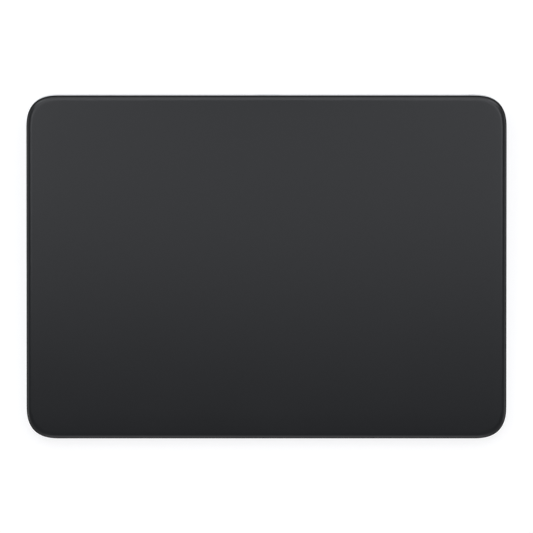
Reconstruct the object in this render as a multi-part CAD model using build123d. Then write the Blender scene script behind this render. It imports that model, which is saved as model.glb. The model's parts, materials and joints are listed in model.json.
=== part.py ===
from build123d import *
from math import asin, cos, sin, tan
import os

# A wireless desk trackpad: a sloping plate of black glass on a machined aluminium wedge.
# The glass, its sensor board and a stiffening plate make one pad. Four steel blades carry the pad
# near its corners and bend a little when it is pressed. Gel pads between blades and pad let a
# magnet shake it sideways. The wedge holds the battery, the boards, a socket and a slide switch.
# Units are millimetres. X runs to the right, Y to the rear and Z up. The origin is on the desk,
# under the middle of the object. All pieces of the pad are square to the sloping glass.

# Outer form
glass_width = 160.0
glass_depth = 114.6
front_height = 4.9
rear_height = 10.9
corner_reach = 11.25
corner_handle = 8.1
circle_share = 0.5523

# Glass plate
glass_thickness = 1.3
glass_edge_radius = 1.0
glass_under_chamfer = 0.15

# Case
case_base = 0.5
case_inset = 0.1
case_wall = 1.4
case_floor = 0.9
case_bottom_radius = 1.2
case_rim_chamfer = 0.12
rim_gap = 0.3
cut_overrun = 0.5

# Layers of the pad under the glass
pad_clearance = 0.8
adhesive_thickness = 0.1
sensor_thickness = 0.4
stiffener_thickness = 0.6
stiffener_step = 0.4
pad_headroom = 0.5

# Screws, all of one kind
screw_radius = 0.7
screw_clearance = 0.05
screw_head_radius = 1.25
screw_head_height = 0.4
screw_head_round = 0.12
screw_head_margin = 0.35
screw_socket_radius = 0.55
screw_socket_depth = 0.22
screw_thread = 2.0
hole_skin = 0.35
hole_spare = 0.1
post_wall = 1.0

# Feet, one under each blade's tip
foot_from_side = 13.0
foot_from_end = 14.3
foot_radius = 5.4
foot_clearance = 0.15
foot_recess = 0.4
foot_edge_radius = 0.25
access_radius = 2.4

# Steel blades that carry the pad, with the plates and gel pads on their tips
blade_thickness = 0.25
blade_width = 9.0
blade_length = 16.0
blade_tip_margin = 4.2
blade_root_margin = 3.0
blade_corner = 1.4
blade_window_width = 4.0
blade_window_length = 6.5
root_screw_inset = 1.9
root_block_length = 6.0
root_thread = 1.3
tip_plate_size = 8.0
tip_plate_thickness = 0.5
tip_plate_corner = 1.2
tip_screw_end = 0.3
gel_size = 7.0
gel_thickness = 0.4
gel_hole_radius = 1.3
gauge_length = 2.6
gauge_width = 1.3
gauge_thickness = 0.06

# Socket in the middle of the rear wall
port_height = 4.8
shell_width = 8.94
shell_height = 3.16
shell_wall = 0.3
shell_depth = 7.3
shell_recess = 0.5
port_fit = 0.03
port_cut_clearance = 0.09
tongue_width = 6.69
tongue_thickness = 0.7
tongue_length = 4.45
tongue_base_length = 2.3
tongue_chamfer = 0.15
contact_count = 12
contact_pitch = 0.5
contact_width = 0.27
contact_length = 3.2
contact_thickness = 0.04
contact_setback = 0.5
gasket_width = 11.4
gasket_height = 5.4
gasket_depth = 0.9
gasket_clearance = 0.05
port_board_width = 22.0
port_board_length = 8.2
port_board_gap = 0.3
port_post_spread = 8.4
port_post_setback = 3.0
clamp_thickness = 0.3
clamp_depth = 3.6
clamp_clearance = 0.05
board_thickness = 0.8

# Slide switch near the right end of the rear wall
switch_from_side = 12.6
switch_height = 4.8
switch_slot_length = 4.9
switch_slot_height = 2.1
switch_travel = 2.3
switch_wall = 0.9
switch_gap = 0.25
knob_width = 2.3
knob_clearance = 0.15
knob_proud = 0.12
knob_groove_width = 0.25
knob_groove_pitch = 0.55
knob_groove_depth = 0.12
knob_groove_count = 3
flange_thickness = 0.4
flange_height = 3.4
flange_margin = 0.4
flange_corner = 0.5
indicator_thickness = 0.08
indicator_height = 2.5
indicator_margin = 0.3
housing_gap = 0.15
housing_length = 7.6
housing_depth = 3.2
housing_height = 2.6
housing_cavity_width = 4.8
housing_cavity_depth = 2.2
housing_cavity_height = 1.6
lever_width = 1.5
lever_height = 1.1
lever_reach = 1.7
switch_board_width = 9.6
switch_board_length = 6.2
switch_post_spread = 3.3
switch_post_setback = 4.6

# Battery
cell_gap = 6.0
cell_depth = 28.5
cell_side_gap = 1.0
cell_edge_radius = 0.9
cell_rear_gap = 1.2
cell_adhesive_width = 16.0
cell_adhesive_margin = 2.0
cell_adhesive_thickness = 0.15
cell_channel = 3.6
tab_width = 3.0
tab_thickness = 0.15
tab_rise = 1.0
tab_spread = 9.0
tab_lap = 1.0
battery_board_lap = 13.2
battery_board_depth = 2.8
battery_board_thickness = 0.6
battery_chip_size = 1.9
battery_chip_height = 0.7
battery_chip_pitch = 3.0
battery_chip_count = 2
lead_radius = 0.33
lead_pitch = 1.2
lead_count = 3
lead_bend = 0.6

# Main board, with its chips, shield and connectors
low_boss_height = 0.5
logic_width = 31.9
logic_depth = 25.0
logic_rear_gap = 1.6
logic_side_gap = 1.4
logic_screw_inset = 2.5
chip_size = 7.0
chip_height = 0.9
chip_gap = 2.0
small_chip_size = 3.0
small_chip_pitch = 4.5
small_chip_count = 3
shield_width = 14.0
shield_depth = 11.0
shield_height = 1.2
shield_wall = 0.15
shield_from_right = 4.5
shield_from_rear = 6.0
radio_size = 5.0
connector_height = 0.9
connector_depth = 2.4
connector_width = 5.0
battery_connector_height = 1.2
touch_connector_width = 12.0
cable_connector_width = 3.0

# Flat cables
flex_thickness = 0.2
flex_width = 3.0
flex_gap = 0.2
flex_lap = 1.8
gauge_tab = 0.5
switch_lane_gap = 1.6
touch_flex_thickness = 0.15
touch_flex_reach = 3.8
touch_flex_bend = 0.8
touch_flex_lap = 3.0
touch_flex_margin = 1.0

# Magnet that shakes the pad
core_leg_width = 2.4
core_leg_height = 0.9
core_leg_pitch = 6.0
core_leg_length = 24.0
core_bar_width = 4.5
coil_side = 1.2
coil_layer = 0.45
coil_clearance = 0.05
coil_setback = 3.5
coil_end_gap = 3.5
pole_gap = 0.4
bracket_thickness = 0.4
bracket_overlap = 1.0
bracket_side = 3.2
bracket_corner = 1.0
bracket_board_gap = 11.5
bracket_rear_gap = 1.7
armature_width = 3.0
armature_screw_pitch = 10.0
coil_lead_radius = 0.25
coil_lead_bend = 2.0

# Antenna near the front wall
antenna_side_gap = 4.3
antenna_length = 24.0
antenna_depth = 4.0
antenna_front_gap = 1.6
antenna_board_thickness = 0.5
antenna_track = 0.5
antenna_track_thickness = 0.06
antenna_turns = 7
antenna_cable_radius = 0.3
antenna_cable_lift = 0.05
antenna_cable_bend = 0.5
antenna_cable_gap = 1.2

# Windows in the stiffening plate, and ribs on the case's floor
window_margin = 2.0
window_corner = 1.0
touch_chip_gap = 2.4
touch_chip_size = 6.0
touch_chip_pitch = 9.0
rib_count = 4
rib_side_gap = 13.3
rib_antenna_gap = 11.0
rib_width = 1.2
rib_height = 0.5
rib_gap = 4.0

# Levels and places that follow from the sizes above
tilt = asin((rear_height - front_height) / glass_depth)
pad_z = (rear_height + front_height) / 2
case_depth = glass_depth - 2 * case_inset
rear_lean = (rear_height - case_base - case_bottom_radius) * tan(tilt)
front_lean = glass_edge_radius * sin(tilt)
pad_y = ((glass_depth - case_depth) / 2 * cos(tilt) - front_lean - rear_lean) / 2
pad_normal = Vector(0, -sin(tilt), cos(tilt))
pad_place = Plane(origin=(0, pad_y, pad_z), x_dir=(1, 0, 0), z_dir=pad_normal).location
floor_top = case_base + case_floor
cavity_inset = case_inset + case_wall
rim_drop = glass_thickness + rim_gap
layer_inset = cavity_inset + pad_clearance
sensor_drop = glass_thickness + adhesive_thickness
stiffener_drop = sensor_drop + sensor_thickness
pad_drop = stiffener_drop + stiffener_thickness
tip_plate_drop = pad_drop + gel_thickness
blade_drop = tip_plate_drop + tip_plate_thickness
blade_under_drop = blade_drop + blade_thickness
screw_hole_radius = screw_radius + screw_clearance
screw_inset = screw_head_radius + screw_head_margin
foot_u = glass_width / 2 - foot_from_side
foot_v = glass_depth / 2 - foot_from_end
corners = {"front_left": (-1, -1), "front_right": (1, -1), "rear_left": (-1, 1), "rear_right": (1, 1)}
upright = (Align.CENTER, Align.CENTER, Align.MIN)
hanging = (Align.CENTER, Align.CENTER, Align.MAX)


# Places and directions

def pad_level(y, drop):
    """Height above the desk, at depth y, of the plane that lies drop below the glass's top."""
    return pad_z + (y - pad_y) * tan(tilt) - drop / cos(tilt)


def wall_at(end, z, inset):
    """Depth y, at height z, of the front (-1) or rear (1) face that lies inset inside the glass's edge."""
    v = end * (glass_depth / 2 - inset)
    return pad_y + v * cos(tilt) - (z - pad_z - v * sin(tilt)) * tan(tilt)


def on_pad(shape, drop=0):
    """Moves a shape made around the glass's middle to its place, drop below the glass's top."""
    return pad_place * Pos(0, 0, -drop) * shape


def at_corner(side, end, shape, drop):
    """Moves a shape made around a blade's tip, its root towards -Y, to one corner of the pad."""
    turn = 0 if end > 0 else 180
    return on_pad(Pos(side * foot_u, end * foot_v, 0) * Rot(0, 0, turn) * shape, drop)


def from_rear(shape, x, y, z):
    """Stands a shape drawn flat against the rear wall, so that its thickness runs to the front."""
    return Pos(x, y, z) * Rot(90, 0, 0) * shape


def above(z):
    """All the space over a height."""
    reach = 2 * glass_width
    return Pos(0, 0, z) * Box(reach, reach, reach, align=upright)


# Shapes that several pieces use

def block(x, y, z):
    """A box from its low and high X, Y and Z."""
    spans = (x, y, z)
    middle = [(low + high) / 2 for low, high in spans]
    size = [high - low for low, high in spans]
    return Pos(*middle) * Box(*size)


def peg(x, y, low, high, radius):
    """An upright cylinder between two heights."""
    return Pos(x, y, low) * Cylinder(radius, high - low, align=upright)


def group(solids):
    """Several separate solids as one node."""
    return Compound(children=list(solids))


def tube(points, radius, bend):
    """A round lead along straight runs joined by arcs."""
    path = FilletPolyline(*points, radius=bend)
    return sweep(Plane(origin=path @ 0, z_dir=path % 0) * Circle(radius), path=path)


def pad_outline(inset):
    """The glass's outline moved in by inset: straight sides and corners that ease into their curve."""
    half_width = glass_width / 2 - inset
    half_depth = glass_depth / 2 - inset
    reach = corner_reach - inset
    handle = corner_handle - circle_share * inset

    def corner(side, end):
        start = (side * half_width, end * (half_depth - reach))
        start_pull = (side * half_width, end * (half_depth - reach + handle))
        stop_pull = (side * (half_width - reach + handle), end * half_depth)
        stop = (side * (half_width - reach), end * half_depth)
        return [start, start_pull, stop_pull, stop]

    runs = [corner(1, 1), corner(-1, 1)[::-1], corner(-1, -1), corner(1, -1)[::-1]]
    edges = []
    for run, following in zip(runs, runs[1:] + runs[:1]):
        edges.append(Bezier(*run))
        edges.append(Line(run[-1], following[0]))
    return make_face(edges)


def layer(inset, thickness):
    """A plate of the pad's outline, its top face at the glass's middle."""
    return extrude(pad_outline(inset), amount=thickness, dir=(0, 0, -1))


def screw(length):
    """A screw whose head stands on z = 0 and whose shank hangs down."""
    head = Cylinder(screw_head_radius, screw_head_height, align=upright)
    head = fillet(head.edges().group_by(Axis.Z)[-1], screw_head_round)
    socket = extrude(RegularPolygon(screw_socket_radius, 6), amount=screw_socket_depth)
    head -= Pos(0, 0, screw_head_height - screw_socket_depth) * socket
    return head + Cylinder(screw_radius, length, align=hanging)


def thread_in(top):
    """How far a screw goes into an upright post with that top."""
    return min(screw_thread, top - case_base - hole_skin - hole_spare)


def upright_screws(places, top, seat):
    """Screws with their heads on seat, in posts with that top."""
    return group(Pos(x, y, seat) * screw(seat - top + thread_in(top)) for x, y in places)


def drilled(plate, places, low, high):
    """A flat piece with screw holes through it."""
    for x, y in places:
        plate -= peg(x, y, low - cut_overrun, high + cut_overrun, screw_hole_radius)
    return plate


# Places that several pieces share

port_wall_out = wall_at(1, port_height, case_inset)
port_wall_in = wall_at(1, port_height, cavity_inset)
shell_mouth = port_wall_out - shell_recess
port_board_top = port_height - shell_height / 2
port_board_under = port_board_top - board_thickness
gasket_front = port_wall_in - gasket_depth
port_board_rear = gasket_front - port_board_gap
port_board_front = port_board_rear - port_board_length
port_screw_y = port_board_rear - port_post_setback
port_screws_at = [(side * port_post_spread, port_screw_y) for side in (-1, 1)]

switch_x = glass_width / 2 - switch_from_side
knob_x = switch_x + switch_travel / 2
pocket_y = wall_at(1, switch_height + flange_height / 2, case_inset) - switch_wall
flange_y = pocket_y - switch_gap
flange_front = flange_y - flange_thickness
flange_reach = switch_slot_length / 2 + switch_travel / 2 + flange_margin
housing_y = flange_front - housing_gap
switch_board_top = switch_height - housing_height / 2
switch_board_under = switch_board_top - board_thickness
switch_board_front = housing_y - switch_board_length
switch_screw_y = housing_y - switch_post_setback
switch_screws_at = [(switch_x + side * switch_post_spread, switch_screw_y) for side in (-1, 1)]

blade_root_pitch = blade_width - 2 * root_screw_inset
root_v = foot_v - blade_length
root_y = [pad_y + end * root_v * cos(tilt) + blade_drop * sin(tilt) for end in (-1, 1)]
gauge_strip_x = (foot_u - blade_width / 2 - flex_gap - flex_width, foot_u - blade_width / 2 - flex_gap)
gauge_strip_y = (root_y[0] - flex_width / 2, root_y[1] + flex_width / 2)
gauge_lane_y = (root_y[0] - flex_width / 2, root_y[0] + flex_width / 2)
cell_x = (cell_gap / 2, gauge_strip_x[0] - cell_side_gap)
cell_rear = port_board_front - cell_rear_gap
cell_front = cell_rear - cell_depth
cell_bottom = floor_top + cell_adhesive_thickness
cell_top = pad_level(cell_front, pad_drop) - pad_headroom
battery_board_rear = cell_front - cell_channel
battery_board_front = battery_board_rear - battery_board_depth
battery_board_y = (battery_board_rear + battery_board_front) / 2
battery_board_top = floor_top + battery_board_thickness
tab_places = [side * (cell_gap / 2 + tab_width + step) for side in (-1, 1) for step in (0, tab_spread)]
logic_x = (gauge_strip_x[0] - logic_side_gap - logic_width, gauge_strip_x[0] - logic_side_gap)
battery_board_right = logic_x[0] + battery_board_lap

boss_top = floor_top + low_boss_height
logic_top = boss_top + board_thickness
logic_y = (battery_board_front - logic_rear_gap - logic_depth, battery_board_front - logic_rear_gap)
logic_middle = sum(logic_x) / 2
logic_screws_at = [
    (logic_x[0] + logic_screw_inset, logic_y[0] + logic_screw_inset),
    (logic_x[1] - logic_screw_inset, logic_y[0] + logic_screw_inset),
    (logic_x[1] - logic_screw_inset, logic_y[1] - logic_screw_inset),
]
lead_x = battery_board_right - lead_count * lead_pitch
port_connector_at = logic_middle + connector_width / 2
gauge_connector_at = logic_x[0] + 2 * logic_screw_inset + connector_width / 2
cable_connector_at = gauge_connector_at + (connector_width + cable_connector_width) / 2 + window_margin
touch_connector_at = logic_middle + touch_connector_width / 2
plug_level = logic_top + connector_height / 2
port_lane_y = (battery_board_rear + flex_gap, battery_board_rear + flex_gap + flex_width)

bracket_right = logic_x[0] - bracket_board_gap
bracket_top = boss_top + bracket_thickness
core_top = bracket_top + core_leg_height + 2 * coil_layer
core_middle = (bracket_top + core_top) / 2
core_bar_x = (bracket_right - bracket_overlap - core_bar_width, bracket_right - bracket_overlap)
pole_x = core_bar_x[0] - core_leg_length
core_reach = core_leg_pitch + core_leg_width / 2
coil_reach = core_reach + coil_side
coil_x = (pole_x + coil_setback, core_bar_x[0] - coil_end_gap)
actuator_y = battery_board_front - bracket_rear_gap - bracket_side - coil_reach
leg_places = [actuator_y + step * core_leg_pitch for step in (-1, 0, 1)]
bracket_x = (pole_x + bracket_overlap, bracket_right)
bracket_y = (actuator_y - coil_reach - bracket_side, actuator_y + coil_reach + bracket_side)
bracket_screws_at = [
    (x, y)
    for x in (bracket_x[0] + screw_inset, bracket_x[1] - screw_inset)
    for y in (bracket_y[0] + screw_inset, bracket_y[1] - screw_inset)
]
armature_u = pole_x - pole_gap - armature_width / 2
armature_v = actuator_y - pad_y
armature_height = (pad_level(actuator_y, pad_drop) - core_middle + core_leg_height / 2) * cos(tilt)
armature_screws_at = [(armature_u, armature_v + end * armature_screw_pitch / 2) for end in (-1, 1)]
touch_chips_right = armature_u - armature_width / 2 - touch_chip_gap
touch_chips_u = touch_chips_right - (touch_chip_pitch + touch_chip_size) / 2

antenna_front = wall_at(-1, floor_top, cavity_inset) + antenna_front_gap
antenna_rear = antenna_front + antenna_depth
antenna_top = floor_top + antenna_board_thickness
antenna_right = gauge_strip_x[0] - antenna_side_gap
antenna_left = antenna_right - antenna_length
rib_places = (rib_side_gap - gauge_strip_x[0], antenna_left - rib_antenna_gap)


# The glass plate, edge to edge over the case

def make_glass():
    plate = layer(0, glass_thickness)
    plate = fillet(plate.edges().group_by(Axis.Z)[-1], glass_edge_radius)
    plate = chamfer(plate.edges().group_by(Axis.Z)[0], glass_under_chamfer)
    return on_pad(plate)


# Chips on the sensor board that is glued under the glass

def make_sensor_chips():
    chip = Box(touch_chip_size, touch_chip_size, chip_height, align=hanging)
    places = [touch_chips_u + side * touch_chip_pitch / 2 for side in (-1, 1)]
    return group(on_pad(Pos(u, 0, 0) * chip, stiffener_drop) for u in places)


# The stiffening plate, with a window for the chips and one for the touch cable

def make_stiffener():
    chips_width = touch_chip_pitch + touch_chip_size + 2 * window_margin
    chips_depth = touch_chip_size + 2 * window_margin
    chips_window = RectangleRounded(chips_width, chips_depth, window_corner)
    chips_window = Pos(touch_chips_u, 0) * chips_window
    cable_width = touch_connector_width + 2 * window_margin
    cable_depth = touch_flex_reach + 2 * flex_width + window_margin
    cable_v = logic_y[0] - pad_y - (touch_flex_reach + flex_width) / 2
    cable_window = RectangleRounded(cable_width, cable_depth, window_corner)
    cable_window = Pos(touch_connector_at, cable_v) * cable_window
    plate = layer(layer_inset + stiffener_step, stiffener_thickness)
    cut_depth = stiffener_thickness + 2 * cut_overrun
    plate -= Pos(0, 0, cut_overrun) * extrude(chips_window + cable_window, amount=cut_depth, dir=(0, 0, -1))
    plate = drilled(plate, armature_screws_at, -stiffener_thickness, 0)
    return on_pad(plate, stiffener_drop)


# The steel block that the magnet pulls, screwed under the stiffening plate

def make_armature():
    bar = Box(armature_width, 2 * core_reach, armature_height, align=hanging)
    bar = drilled(Pos(armature_u, armature_v, 0) * bar, armature_screws_at, -armature_height, 0)
    return on_pad(bar, pad_drop)


def make_armature_screws():
    piece = Rot(180, 0, 0) * screw(armature_height + stiffener_thickness - hole_spare)
    return group(on_pad(Pos(u, v, 0) * piece, pad_drop + armature_height) for u, v in armature_screws_at)


# The blades, and what sits on their tips and roots

def make_blade(side, end):
    length = blade_tip_margin + blade_length + blade_root_margin
    window = RectangleRounded(blade_window_width, blade_window_length, blade_corner)
    sheet = Pos(0, blade_tip_margin - length / 2) * RectangleRounded(blade_width, length, blade_corner)
    sheet -= Circle(screw_hole_radius) + Pos(0, -blade_length / 2) * window
    for hand in (-1, 1):
        sheet -= Pos(hand * blade_root_pitch / 2, -blade_length) * Circle(screw_hole_radius)
    return at_corner(side, end, extrude(sheet, amount=blade_thickness, dir=(0, 0, -1)), blade_drop)


def make_tip_plates():
    plate = RectangleRounded(tip_plate_size, tip_plate_size, tip_plate_corner) - Circle(screw_hole_radius)
    plate = extrude(plate, amount=tip_plate_thickness, dir=(0, 0, -1))
    return group(at_corner(side, end, plate, tip_plate_drop) for side, end in corners.values())


def make_gel_pads():
    pad = RectangleRounded(gel_size, gel_size, tip_plate_corner) - Circle(gel_hole_radius)
    pad = extrude(pad, amount=gel_thickness, dir=(0, 0, -1))
    return group(at_corner(side, end, pad, pad_drop) for side, end in corners.values())


def make_tip_screws():
    piece = Rot(180, 0, 0) * screw(blade_thickness + tip_plate_thickness + tip_screw_end)
    return group(at_corner(side, end, piece, blade_under_drop) for side, end in corners.values())


def make_blade_screws():
    piece = screw(blade_thickness + root_thread)
    return group(
        at_corner(side, end, Pos(hand * blade_root_pitch / 2, -blade_length, 0) * piece, blade_drop)
        for side, end in corners.values()
        for hand in (-1, 1)
    )


def make_strain_gauges():
    arm = (blade_width + blade_window_width) / 4
    foil = Box(gauge_width, gauge_length, gauge_thickness, align=upright)
    return group(
        at_corner(side, end, Pos(hand * arm, -blade_length / 2, 0) * foil, blade_drop)
        for side, end in corners.values()
        for hand in (-1, 1)
    )


# The feet, in recesses that also cover the holes through which the tip screws are reached

def foot_place(side, end):
    v = end * foot_v
    drop = (pad_z + v * sin(tilt) - case_base) / cos(tilt)
    return side * foot_u, pad_y + v * cos(tilt) + drop * sin(tilt)


def make_foot(side, end):
    x, y = foot_place(side, end)
    foot = peg(x, y, 0, case_base + foot_recess, foot_radius)
    return fillet(foot.edges().group_by(Axis.Z)[0], foot_edge_radius)


# The case: a wedge square to the glass, hollowed out, with posts and ribs on its floor

def case_posts():
    posts = [(port_screws_at, port_board_under), (switch_screws_at, switch_board_under)]
    return posts + [(logic_screws_at, boss_top), (bracket_screws_at, boss_top)]


def make_case():
    case = on_pad(layer(case_inset, rear_height), rim_drop) & above(case_base)
    case = fillet(case.edges().group_by(Axis.Z)[0], case_bottom_radius)
    cavity = on_pad(layer(cavity_inset, rear_height), rim_drop - cut_overrun) & above(floor_top)
    case -= cavity
    case = chamfer(case.edges().group_by(Axis((0, 0, 0), pad_normal))[-1], case_rim_chamfer)
    for places, top in case_posts():
        for x, y in places:
            case += peg(x, y, floor_top, top, screw_hole_radius + post_wall)
    root_block = Pos(0, -blade_length, 0) * Box(blade_width, root_block_length, rear_height, align=hanging)
    for side, end in corners.values():
        case += at_corner(side, end, root_block, blade_under_drop) & above(floor_top)
    rib_y = (wall_at(-1, floor_top, cavity_inset) + rib_gap, gauge_lane_y[0] - rib_gap)
    rib_pitch = (rib_places[1] - rib_places[0]) / (rib_count - 1)
    for step in range(rib_count):
        x = rib_places[0] + step * rib_pitch
        case += block((x - rib_width / 2, x + rib_width / 2), rib_y, (floor_top, floor_top + rib_height))
    return case_holes(case)


def case_holes(case):
    for places, top in case_posts():
        for x, y in places:
            case -= peg(x, y, top - thread_in(top) - hole_spare, top + cut_overrun, screw_hole_radius)
    root_hole = Cylinder(screw_hole_radius, root_thread + hole_spare + cut_overrun, align=hanging)
    for side, end in corners.values():
        for hand in (-1, 1):
            place = Pos(hand * blade_root_pitch / 2, -blade_length, cut_overrun)
            case -= at_corner(side, end, place * root_hole, blade_under_drop)
        x, y = foot_place(side, end)
        case -= peg(x, y, case_base - cut_overrun, case_base + foot_recess, foot_radius + foot_clearance)
        case -= peg(x, y, case_base, floor_top + cut_overrun, access_radius)
    through = case_wall + 2 * cut_overrun
    port_cut = SlotOverall(shell_width + 2 * port_cut_clearance, shell_height + 2 * port_cut_clearance)
    case -= from_rear(extrude(port_cut, amount=through), 0, port_wall_out + cut_overrun, port_height)
    switch_cut = extrude(SlotOverall(switch_slot_length, switch_slot_height), amount=through)
    case -= from_rear(switch_cut, switch_x, port_wall_out + cut_overrun, switch_height)
    pocket_x = (knob_x - switch_travel - flange_reach - switch_gap, knob_x + flange_reach + switch_gap)
    rise = flange_height / 2 + switch_gap
    return case - block(pocket_x, (housing_y, pocket_y), (switch_height - rise, switch_height + rise))


# The socket: a drawn steel shell round a plastic tongue with contacts, on a board of its own

def make_port_shell():
    ring = SlotOverall(shell_width, shell_height)
    ring -= SlotOverall(shell_width - 2 * shell_wall, shell_height - 2 * shell_wall)
    return from_rear(extrude(ring, amount=shell_depth), 0, shell_mouth, port_height)


def tongue_tip():
    return shell_mouth - shell_depth + tongue_base_length + tongue_length


def make_port_tongue():
    inner = 2 * (shell_wall + port_fit)
    tongue = extrude(Rectangle(tongue_width, tongue_thickness), amount=tongue_length)
    tongue = chamfer(tongue.edges().group_by(Axis.Z)[0], tongue_chamfer)
    base = extrude(SlotOverall(shell_width - inner, shell_height - inner), amount=tongue_base_length)
    return from_rear(tongue + Pos(0, 0, tongue_length) * base, 0, tongue_tip(), port_height)


def make_port_contacts():
    strips = []
    y = (tongue_tip() - contact_setback - contact_length, tongue_tip() - contact_setback)
    for index in range(contact_count):
        x = (index - (contact_count - 1) / 2) * contact_pitch
        for face in (-1, 1):
            near = port_height + face * tongue_thickness / 2
            z = sorted((near, near + face * contact_thickness))
            strips.append(block((x - contact_width / 2, x + contact_width / 2), y, z))
    return group(strips)


def make_port_gasket():
    x = (-gasket_width / 2, gasket_width / 2)
    z = (port_height - gasket_height / 2, port_height + gasket_height / 2)
    gasket = block(x, (gasket_front, port_wall_out), z) & on_pad(layer(cavity_inset, rear_height))
    hole = SlotOverall(shell_width + 2 * gasket_clearance, shell_height + 2 * gasket_clearance)
    return gasket - from_rear(extrude(hole, amount=2 * case_wall), 0, port_wall_out, port_height)


def make_port_board():
    x = (-port_board_width / 2, port_board_width / 2)
    board = block(x, (port_board_front, port_board_rear), (port_board_under, port_board_top))
    return drilled(board, port_screws_at, port_board_under, port_board_top)


def make_port_clamp():
    reach = port_post_spread + screw_inset
    gap = 2 * clamp_clearance
    wall = gap + 2 * clamp_thickness
    profile = SlotOverall(shell_width + wall, shell_height + wall)
    profile += Pos(0, (clamp_thickness - shell_height) / 2) * Rectangle(2 * reach, clamp_thickness)
    profile -= SlotOverall(shell_width + gap, shell_height + gap)
    profile &= Pos(0, (reach - shell_height) / 2) * Rectangle(2 * reach, reach)
    clamp = from_rear(extrude(profile, amount=clamp_depth), 0, port_screw_y + clamp_depth / 2, port_height)
    return drilled(clamp, port_screws_at, port_board_top, port_board_top + clamp_thickness)


# The slide switch: a knob on a flange behind the wall, and the lever it carries into the housing

def make_switch_knob():
    proud_y = wall_at(1, switch_height, case_inset) + knob_proud
    knob = SlotOverall(knob_width, switch_slot_height - 2 * knob_clearance)
    knob = from_rear(extrude(knob, amount=proud_y - flange_y), knob_x, proud_y, switch_height)
    flange = RectangleRounded(2 * flange_reach, flange_height, flange_corner)
    knob += from_rear(extrude(flange, amount=flange_thickness), knob_x, flange_y, switch_height)
    for index in range(knob_groove_count):
        x = knob_x + (index - (knob_groove_count - 1) / 2) * knob_groove_pitch
        groove_x = (x - knob_groove_width / 2, x + knob_groove_width / 2)
        groove_z = (switch_height - switch_slot_height, switch_height + switch_slot_height)
        knob -= block(groove_x, (proud_y - knob_groove_depth, proud_y + cut_overrun), groove_z)
    return knob


def make_switch_indicator():
    x = (knob_x + knob_width / 2 + indicator_margin, knob_x + flange_reach - indicator_margin)
    z = (switch_height - indicator_height / 2, switch_height + indicator_height / 2)
    return block(x, (flange_y, flange_y + indicator_thickness), z)


def make_switch_lever():
    lever = extrude(Rectangle(lever_width, lever_height), amount=lever_reach)
    return from_rear(lever, knob_x, flange_front, switch_height)


def make_switch_housing():
    x = (switch_x - housing_length / 2, switch_x + housing_length / 2)
    z = (switch_board_top, switch_board_top + housing_height)
    housing = block(x, (housing_y - housing_depth, housing_y), z)
    cavity = extrude(Rectangle(housing_cavity_width, housing_cavity_height), amount=housing_cavity_depth)
    return housing - from_rear(cavity, switch_x, housing_y, switch_height)


def make_switch_board():
    x = (switch_x - switch_board_width / 2, switch_x + switch_board_width / 2)
    board = block(x, (switch_board_front, housing_y), (switch_board_under, switch_board_top))
    return drilled(board, switch_screws_at, switch_board_under, switch_board_top)


# The battery: two pouch cells glued to the floor, welded by tabs to their own board

def make_cell(side):
    x = sorted((side * cell_x[0], side * cell_x[1]))
    cell = block(x, (cell_front, cell_rear), (cell_bottom, cell_top))
    return fillet(cell.edges(), cell_edge_radius)


def make_cell_adhesive():
    films = []
    for side in (-1, 1):
        middle = side * sum(cell_x) / 2
        x = (middle - cell_adhesive_width / 2, middle + cell_adhesive_width / 2)
        y = (cell_front + cell_adhesive_margin, cell_rear - cell_adhesive_margin)
        films.append(block(x, y, (floor_top, cell_bottom)))
    return group(films)


def make_battery_board():
    x = (-(cell_gap / 2 + 2 * tab_width + tab_spread), battery_board_right)
    return block(x, (battery_board_front, battery_board_rear), (floor_top, battery_board_top))


def make_battery_chips():
    half = battery_chip_size / 2
    y = (battery_board_y - half, battery_board_y + half)
    chips = []
    for step in range(battery_chip_count):
        middle = (step - (battery_chip_count - 1) / 2) * battery_chip_pitch
        z = (battery_board_top, battery_board_top + battery_chip_height)
        chips.append(block((middle - half, middle + half), y, z))
    return group(chips)


def make_battery_tabs():
    low = battery_board_top
    high = low + tab_rise
    tabs = []
    bend = battery_board_y + tab_thickness
    for place in tab_places:
        x = (place - tab_width / 2, place + tab_width / 2)
        tab = block(x, (battery_board_y, cell_front), (high, high + tab_thickness))
        tab += block(x, (battery_board_y, bend), (low, high + tab_thickness))
        tab += block(x, (battery_board_y - tab_lap, bend), (low, low + tab_thickness))
        tabs.append(tab)
    return group(tabs)


def make_battery_leads():
    level = logic_top + battery_connector_height / 2
    leads = []
    for index in range(lead_count):
        x = lead_x + (index - (lead_count - 1) / 2) * lead_pitch
        bend = (x, battery_board_y, level)
        points = [(x, battery_board_y, battery_board_top), bend, (x, logic_y[1], level)]
        leads.append(tube(points, lead_radius, lead_bend))
    return group(leads)


# The main board, and what is soldered to it

def make_logic_board():
    return drilled(block(logic_x, logic_y, (boss_top, logic_top)), logic_screws_at, boss_top, logic_top)


def shield_span():
    right = logic_x[1] - shield_from_right
    rear = logic_y[1] - shield_from_rear
    return (right - shield_width, right), (rear - shield_depth, rear)


def make_logic_shield():
    x, y = shield_span()
    can = block(x, y, (logic_top, logic_top + shield_height))
    inside_x = (x[0] + shield_wall, x[1] - shield_wall)
    inside_y = (y[0] + shield_wall, y[1] - shield_wall)
    inside_z = (logic_top - cut_overrun, logic_top + shield_height - shield_wall)
    return can - block(inside_x, inside_y, inside_z)


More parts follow.
